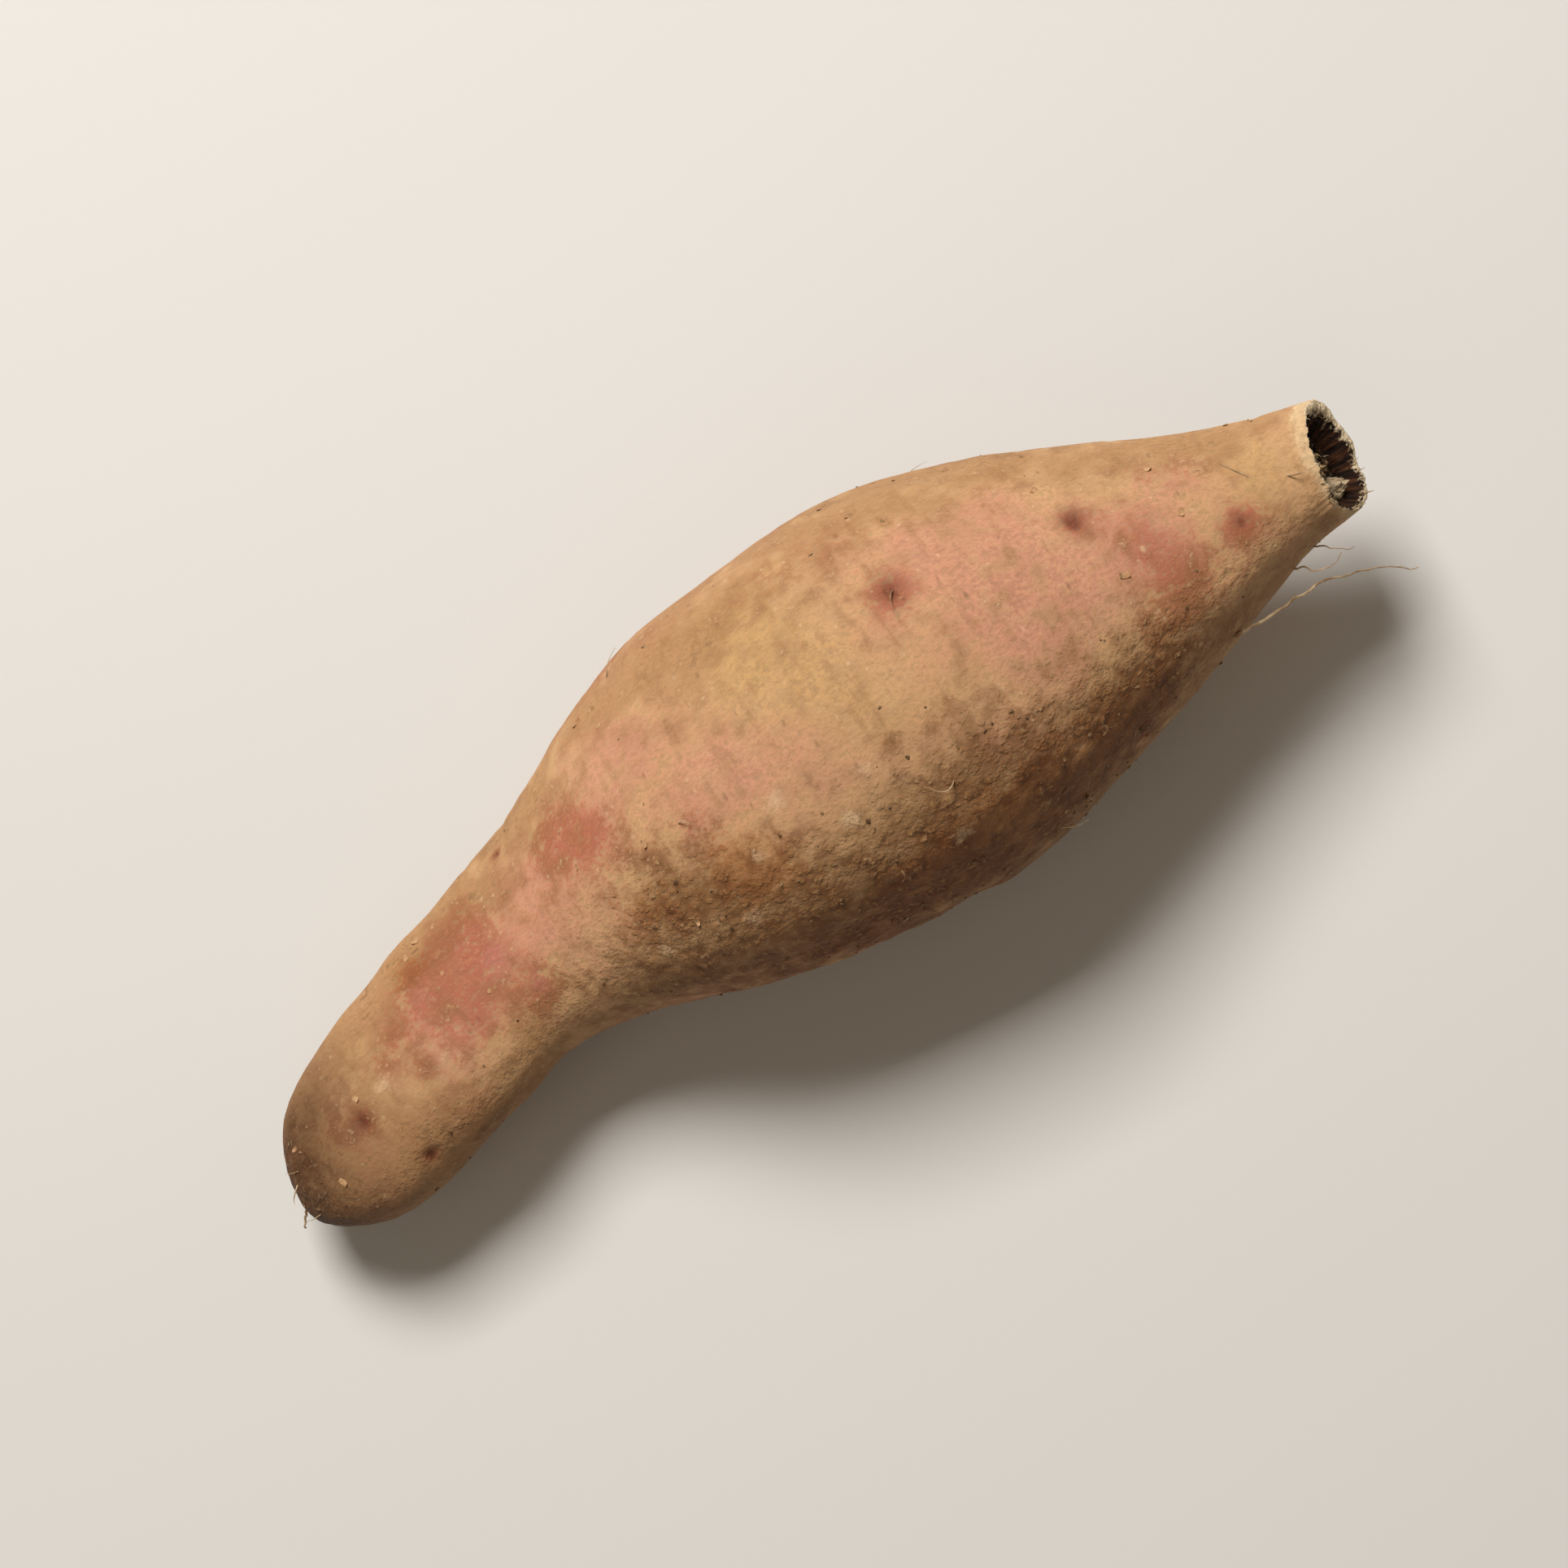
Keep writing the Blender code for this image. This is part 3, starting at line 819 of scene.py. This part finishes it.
def paintFields(mesh, eyePoints):
    # Soft fields of colour that the skin's material reads, from 0 to about 1
    points, places = markPlaces(mesh)
    points = points / mm
    fromTail, turn, away = places
    wide, middling, small, patches = [clouds(points, size, seed) for size, seed in fieldClouds.values()]
    rosy = zoneOf(places, "rosy") + 0.25 * middling + 0.15 * small
    eyeDistance = np.full(len(points), farFromEyes)
    for centre, radius, halo in eyePoints:
        offset = points - centre
        near = np.linalg.norm(offset, axis=1) * (1 + 0.25 * small)
        rosy = rosy + np.exp(-(near / halo * 1.3) ** 2)
        eyeDistance = np.minimum(eyeDistance, np.linalg.norm(offset * eyeStretch, axis=1) / radius)
    writeAttribute(mesh, "rosy", np.clip(rosy, -0.5, 1.1))
    writeAttribute(mesh, "eyeDistance", eyeDistance)
    writeAttribute(mesh, "golden", zoneOf(places, "golden") + 0.3 * middling)
    writeAttribute(mesh, "purple", zoneOf(places, "purple") + 0.2 * small)
    writeAttribute(mesh, "pinkness", 0.2 + zoneOf(places, "pinkish") + 0.35 * wide + 0.3 * middling)
    writeAttribute(mesh, "rusty", zoneOf(places, "rusty") + 0.2 * middling)
    writeAttribute(mesh, "pale", zoneOf(places, "pale"))
    # Soil, and painted shade along the lower side
    soil = np.clip(zoneOf(places, "soiled"), 0, 1.1)
    writeAttribute(mesh, "soil", soil + (0.3 * small + 0.2 * middling) * (0.35 + 0.75 * soil) - 0.06)
    # Brown clouds, with painted shade added on both flanks and towards the tail
    shadedFlanks = 0.4 * np.clip(-turn, 0, 2) + 0.9 * smooth(turn, 0.3, 1.3)
    ends = 0.8 * smooth(-fromTail, -60, -5)
    writeAttribute(mesh, "brownnessAndShade", 0.25 - 0.55 * patches + 0.3 * small + shadedFlanks + ends)
    # The tail darkened towards its end, partly a soil stain and partly painted shade, plus a patch of painted
    # shade on its flank
    stainAndShade = np.clip(1 - (fromTail + 2 * small + 2 * middling) / 24, 0, 1)
    writeAttribute(mesh, "tailStainAndShade", stainAndShade + 0.22 * softPatch(places, 10, 50, 10, 8))
    cut = crownPlaces(points * mm)
    writeAttribute(mesh, "rim", smooth(-cut[:, 2] + 1.2 * small, -2.3, 0.2) * (fromTail > 150))


blank = bpy.data.materials.new("blank")
runTree(skin, reliefTree(blank, crownScar), skinRelief)
eyePoints = pressEyes(skin.data)
roughenCrown(skin.data)
paintFields(skin.data, eyePoints)
skin.data.materials[skin.data.materials.find("blank")] = skinMaterial()
bpy.data.materials.remove(blank)
print("skin painted")


# Small things that stand on the skin. Each tree strews a few shapes over a copy of the skin,
# as thickly as its "standing" values say

def randomValue(tree, kind, low, high, seed):
    first, second, output = {"FLOAT_VECTOR": (0, 1, 0), "FLOAT": (2, 3, 1), "INT": (4, 5, 2)}[kind]
    wires = {first: low, second: high, 8: seed}
    return add(tree, "FunctionNodeRandomValue", wires, data_type=kind).outputs[output]


def strewTree(name, settings, shapes, lean, material, heading=None):
    tree, inputs, output = newTree(name, settings)
    spread = add(tree, "GeometryNodeDistributePointsOnFaces", {
        "Mesh": inputs["Geometry"], "Seed": inputs["Seed"],
        "Density": times(tree, named(tree, "standing"), inputs["Density"])})
    turned = spread.outputs["Rotation"]
    if heading:
        wires = {"Vector": heading}
        turned = add(tree, "FunctionNodeAlignRotationToVector", wires, axis="Z").outputs[0]
    low, high = lean
    by = randomValue(tree, "FLOAT_VECTOR", (low, -0.2, 0.0), (high, 0.2, 2 * math.pi), 3)
    wires = {0: turned, 1: add(tree, "FunctionNodeEulerToRotation", {0: by}).outputs[0]}
    turned = add(tree, "FunctionNodeRotateRotation", wires, rotation_space="LOCAL").outputs[0]
    choice = add(tree, "GeometryNodeJoinGeometry")
    for shape in reversed(shapes(tree, inputs)):
        instance = add(tree, "GeometryNodeGeometryToInstance", {0: shape}).outputs[0]
        tree.links.new(instance, choice.inputs[0])
    size = times(tree, randomValue(tree, "FLOAT", inputs["Smallest"], inputs["Largest"], 7), mm)
    uneven = randomValue(tree, "FLOAT_VECTOR", (0.75, 0.75, 0.75), (1.25, 1.25, 1.25), 9)
    strewn = add(tree, "GeometryNodeInstanceOnPoints", {
        "Points": spread.outputs["Points"], "Instance": choice.outputs[0], "Pick Instance": True,
        "Instance Index": randomValue(tree, "INT", 0, 20, 5), "Rotation": turned,
        "Scale": vectorCalc(tree, "MULTIPLY", joined(tree, size, size, size), uneven)}).outputs[0]
    finishTree(tree, strewn, output, material)
    return tree


def strew(name, density, settings, shapes, lean, material, heading=None):
    # One piece of many small copies, as thick on the skin as the density says
    base = newPiece(name, skin.data.copy())
    writeAttribute(base.data, "standing", density)
    return runTree(base, strewTree(name, settings, shapes, lean, material, heading), settings)


def strandShapes(bends, steps, sides):
    # Tapered strands that start a little under the skin, each given by its middle and its end point
    def shapes(tree, inputs):
        made = []
        for middle, end in bends:
            line = add(tree, "GeometryNodeCurveQuadraticBezier", {
                "Resolution": steps, "Start": (0, 0, -0.05), "Middle": middle, "End": end}).outputs[0]
            taper = times(tree, fade(tree, alongLine(tree), 0.0, 1.0, 1.0, 0.25), inputs["Thickness"])
            made.append(tubeRound(tree, line, sides, taper))
        return made
    return shapes


def lumpShapes(tree, inputs):
    # Rough lumps, a little flattened
    made = []
    for number in range(3):
        ball = add(tree, "GeometryNodeMeshUVSphere", {"Segments": 6, "Rings": 5, "Radius": 0.5}).outputs[0]
        place = position(tree)
        spot = vectorCalc(tree, "ADD", place, (number * 3.0, 0.0, 0.0))
        rough = cloudy(tree, spot, 0.6, 2.0, output="Color")
        push = scaled(tree, vectorCalc(tree, "SUBTRACT", rough, (0.5, 0.5, 0.5)), 0.9)
        push = vectorCalc(tree, "ADD", push, vectorCalc(tree, "MULTIPLY", place, (0.0, 0.0, -0.35)))
        made.append(moved(tree, ball, push))
    return made


def flakeShapes(tree, inputs):
    # Thin scales that curl up along one side
    made = []
    for curl, twist in ((0.5, 0.2), (0.9, -0.25), (0.3, 0.35)):
        sheet = add(tree, "GeometryNodeMeshCube", {
            "Size": (1.0, 0.7, 0.05), "Vertices X": 4, "Vertices Y": 4, "Vertices Z": 2}).outputs[0]
        x, y = parted(tree, position(tree))[:2]
        rise = calc(tree, "ADD", times(tree, x, x, curl), times(tree, x, y, twist))
        narrow = calc(tree, "MULTIPLY_ADD", times(tree, x, x), -1.6, 0.0)
        made.append(moved(tree, sheet, joined(tree, 0.0, times(tree, y, narrow), rise)))
    return made


hairs = {"Density": 5200.0, "Smallest": 1.6, "Largest": 6.5, "Thickness": 0.022, "Seed": 4}
crumbs = {"Density": 110000.0, "Smallest": 0.20, "Largest": 0.80, "Seed": 11}
flakes = {"Density": 3600.0, "Smallest": 0.6, "Largest": 1.6, "Seed": 21}
rimFibres = {"Density": 900000.0, "Smallest": 0.5, "Largest": 1.7, "Thickness": 0.085, "Seed": 8}


# The middle and the end point of each strand, as shares of its length
lyingStrands = [((0, 0.45, 0.25), (0.12, 1.0, 0.18)), ((0.2, 0.4, 0.3), (-0.1, 0.95, 0.35)),
                ((-0.25, 0.5, 0.35), (0.3, 0.8, 0.1))]
uprightStrands = [((0, 0.1, 0.5), (0.05, 0.35, 0.9)), ((0.1, 0.15, 0.5), (0.25, 0.1, 0.95)),
                  ((0, -0.1, 0.4), (-0.15, -0.3, 0.7))]

# How thick each kind stands in its places, from 0 to about 1
hairShares = {"all": 0.05, "patches": 0.35, "eyes": 1.1, "crownEnd": 0.35, "tailEnd": 0.6}
crumbShares = {"all": 0.012, "outOfPatches": 0.25, "patches": 0.75}
flakeShares = {"all": 0.15}
fibreShares = {"ring": 0.25, "rimAt": 0.96, "rimWidth": 0.07}

# Room kept under the root's box for what stands on it, in mm
room = {"floor": 2.5, "sides": 1.5, "hairsTop": 1.5, "flakesTop": 0.8}


def strewEverything():
    points = read(skin.data, "co")
    places, cut = placesOn(points), crownPlaces(points)
    fromTail, height = places[0], points[:, 2]
    clear = (height > room["floor"] * mm) & (abs(points[:, 1]) < cadHigh.y - room["sides"] * mm)
    skinOnly = cut[:, 2] > 1.0
    patchy = smooth(clouds(points / mm, 12.0, 6), -0.1, 0.5)

    shares = hairShares
    nearEyes = sum(softPatch(places, eye[0] + 1, eye[1], 2.0, 2.0) for eye in eyes.values())
    ends = smooth(fromTail, 170, 196) * shares["crownEnd"] + smooth(-fromTail, -14, 0) * shares["tailEnd"]
    hairy = shares["all"] + shares["patches"] * patchy + shares["eyes"] * nearEyes + ends
    hairy = hairy * clear * skinOnly * (height < cadHigh.z - room["hairsTop"] * mm)
    rootHairs = strew("rootHairs", hairy, hairs, strandShapes(lyingStrands, 8, 5),
                      (-0.25, 0.25), hairFibre)

    shares = crumbShares
    soil = np.clip(zoneOf(places, "soiled"), 0, 1) ** 1.5
    soil = soil * (shares["outOfPatches"] + shares["patches"] * patchy)
    soil = (soil + shares["all"]) * clear * skinOnly
    soilCrumbs = strew("soilCrumbs", soil, crumbs, lumpShapes, (-0.5, 0.5), drySoil)

    scaly = (flakeShares["all"] + patchy) * clear * skinOnly
    scaly = scaly * (height < cadHigh.z - room["flakesTop"] * mm)
    skinFlakes = strew("skinFlakes", scaly, flakes, flakeShapes, (-0.12, 0.12), skinFlake)

    shares = fibreShares
    away = np.hypot(cut[:, 0], cut[:, 1]) / rimAt
    onLip = read(skin.data, "normal") @ np.array(crownNormal) > 0.35
    atRim = np.exp(-((away - shares["rimAt"]) / shares["rimWidth"]) ** 2) * (abs(cut[:, 2]) < 2.2) * onLip
    inRing = shares["ring"] * np.exp(-((away - crownLook["ringAt"]) / crownLook["ringWidth"]) ** 2)
    rimmed = (atRim + inRing * (abs(cut[:, 2]) < 4)) * (points[:, 0] > crownStart)
    crownFibres = strew("crownFibres", rimmed, rimFibres, strandShapes(uprightStrands, 4, 4),
                        (-0.7, 0.7), paleFibre, tuple(crownNormal))
    return rootHairs, soilCrumbs, skinFlakes, crownFibres


rootHairs, soilCrumbs, skinFlakes, crownFibres = strewEverything()


# Thin roots near the crown that were left on, each along a path of points

thinRoots = {
    # name: radius at its base in mm, then its points in mm
    "longRoot": (0.30, [
        (65, -21.5, 33), (69, -23.0, 35), (73, -23.8, 35), (77.6, -24.0, 34), (81.7, -24.2, 33),
        (85.8, -24.4, 32), (92.7, -26.4, 29), (97, -28.6, 26), (100.6, -31.2, 22)]),
    "sideRoot": (0.18, [
        (83, -19.6, 33), (85, -21.0, 34), (86.2, -22.6, 33), (88.5, -23.4, 33.5), (91, -22.6, 34)]),
    "shortRoot": (0.16, [(87, -18.2, 34), (89.5, -20.0, 34), (90.5, -22.0, 35), (93, -23.0, 36)]),
    "tailRoot": (0.40, [
        (-100, -8.5, 15), (-102.5, -9.2, 15.5), (-104.4, -10.4, 15.0), (-105.6, -11.8, 13.6)]),
}
rootTaper = {"Tip": 0.35}  # the radius at the tip, as a share of that at the base


def rootPath(points, seed):
    # A smooth line through the points, with small kinks
    points = np.array(points, float)
    steps = np.linspace(0, len(points) - 1, (len(points) - 1) * 7 + 1)
    line = np.stack([np.interp(steps, range(len(points)), points[:, i]) for i in range(3)], 1)
    for _ in range(6):
        line[1:-1] = (line[:-2] + 2 * line[1:-1] + line[2:]) / 4
    for i in range(1, len(line)):
        line[i] += np.array(noise.noise_vector(Vector((i * 0.35, seed * 3.7, 0.5)))) * 0.45
    return line * mm


def threadTree():
    # A knotty tube round each line
    tree, inputs, output = newTree("thinRoots", rootTaper)
    line = add(tree, "GeometryNodeMeshToCurve", {"Mesh": inputs["Geometry"]}).outputs[0]
    knots = cloudy(tree, scaled(tree, position(tree), 1000.0), 1.5, 2.0)
    narrowing = fade(tree, alongLine(tree), 0.0, 1.0, 1.0, inputs["Tip"])
    knotty = calc(tree, "MULTIPLY_ADD", knots, 0.9, 0.55)
    taper = times(tree, narrowing, named(tree, "baseRadius"), knotty, mm)
    tube = tubeRound(tree, line, 7, taper)
    tube = add(tree, "GeometryNodeSetShadeSmooth", {0: tube, "Shade Smooth": True}).outputs[0]
    finishTree(tree, tube, output, hairFibre)
    return tree


def growThinRoots():
    points, edges, radii = [], [], []
    for seed, (radius, path) in enumerate(thinRoots.values()):
        line = rootPath(path, seed)
        start = len(points)
        points += [tuple(p) for p in line]
        edges += [(start + i, start + i + 1) for i in range(len(line) - 1)]
        radii += [radius] * len(line)
    mesh = bpy.data.meshes.new("crownRoots")
    mesh.from_pydata(points, edges, [])
    writeAttribute(mesh, "baseRadius", np.array(radii))
    return runTree(newPiece("crownRoots", mesh), threadTree(), rootTaper)


crownRoots = growThinRoots()
print("small things strewn")


# Studio

floorLook = {"size": 6.0, "tone": paint(222, 220, 216), "roughness": 0.7}

studio = {
    # lamp: place in m, size in m, watts, colour
    "key": ((0.12, 0.87, 1.25), 0.55, 24.7, (1.0, 0.98, 0.95)),
    "fill": ((-0.75, -0.35, 1.10), 1.2, 1.8, (1.0, 0.86, 0.70)),
}
skyLook = {"colour": (1.0, 0.88, 0.72, 1), "strength": 0.12}
cameraLook = {
    "place": (0.0061, -0.0491, 0.840), "aim": (-0.001, 0.0, 0.026), "roll": -36.04, "lens": 118.0,
}


def makeFloor():
    half = floorLook["size"] / 2
    corners = [(-half, -half, 0), (half, -half, 0), (half, half, 0), (-half, half, 0)]
    mesh = bpy.data.meshes.new("floor")
    mesh.from_pydata(corners, [], [(0, 1, 2, 3)])
    material, tree, shader = newMaterial("paleFloor", floorLook["roughness"], 0.3)
    shader.inputs["Base Color"].default_value = floorLook["tone"]
    mesh.materials.append(material)
    newPiece("floor", mesh)


def makeLights():
    for name, (place, size, power, colour) in studio.items():
        lamp = bpy.data.lights.new(name, "AREA")
        lamp.size, lamp.energy, lamp.color = size, power, colour
        holder = bpy.data.objects.new(name, lamp)
        holder.location = place
        holder.rotation_euler = (Vector((0, 0, 0.03)) - Vector(place)).to_track_quat("-Z", "Y").to_euler()
        bpy.context.scene.collection.objects.link(holder)
    world = bpy.data.worlds.new("studio")
    world.use_nodes = True
    background = world.node_tree.nodes["Background"].inputs
    background["Color"].default_value = skyLook["colour"]
    background["Strength"].default_value = skyLook["strength"]
    bpy.context.scene.world = world
    bpy.context.scene.view_settings.view_transform = "Standard"


def makeCamera():
    camera = newPiece("camera", bpy.data.cameras.new("camera"))
    camera.data.lens, camera.data.sensor_width = cameraLook["lens"], 36.0
    place, aim = Vector(cameraLook["place"]), Vector(cameraLook["aim"])
    roll = math.radians(cameraLook["roll"])  # from +X to the picture's right
    back = (place - aim).normalized()
    up = back.cross(Vector((math.cos(roll), math.sin(roll), 0))).normalized()
    camera.matrix_world = Matrix((up.cross(back), up, back)).transposed().to_4x4()
    camera.location = place
    camera.data.clip_start, camera.data.clip_end = 0.05, 20
    bpy.context.scene.camera = camera


makeFloor()
makeLights()
makeCamera()
print("studio ready")


# Everything rides on the root's one body

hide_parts("sweet_potato")
for piece in (skin, rootHairs, soilCrumbs, skinFlakes, crownFibres, crownRoots):
    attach(piece, "root")
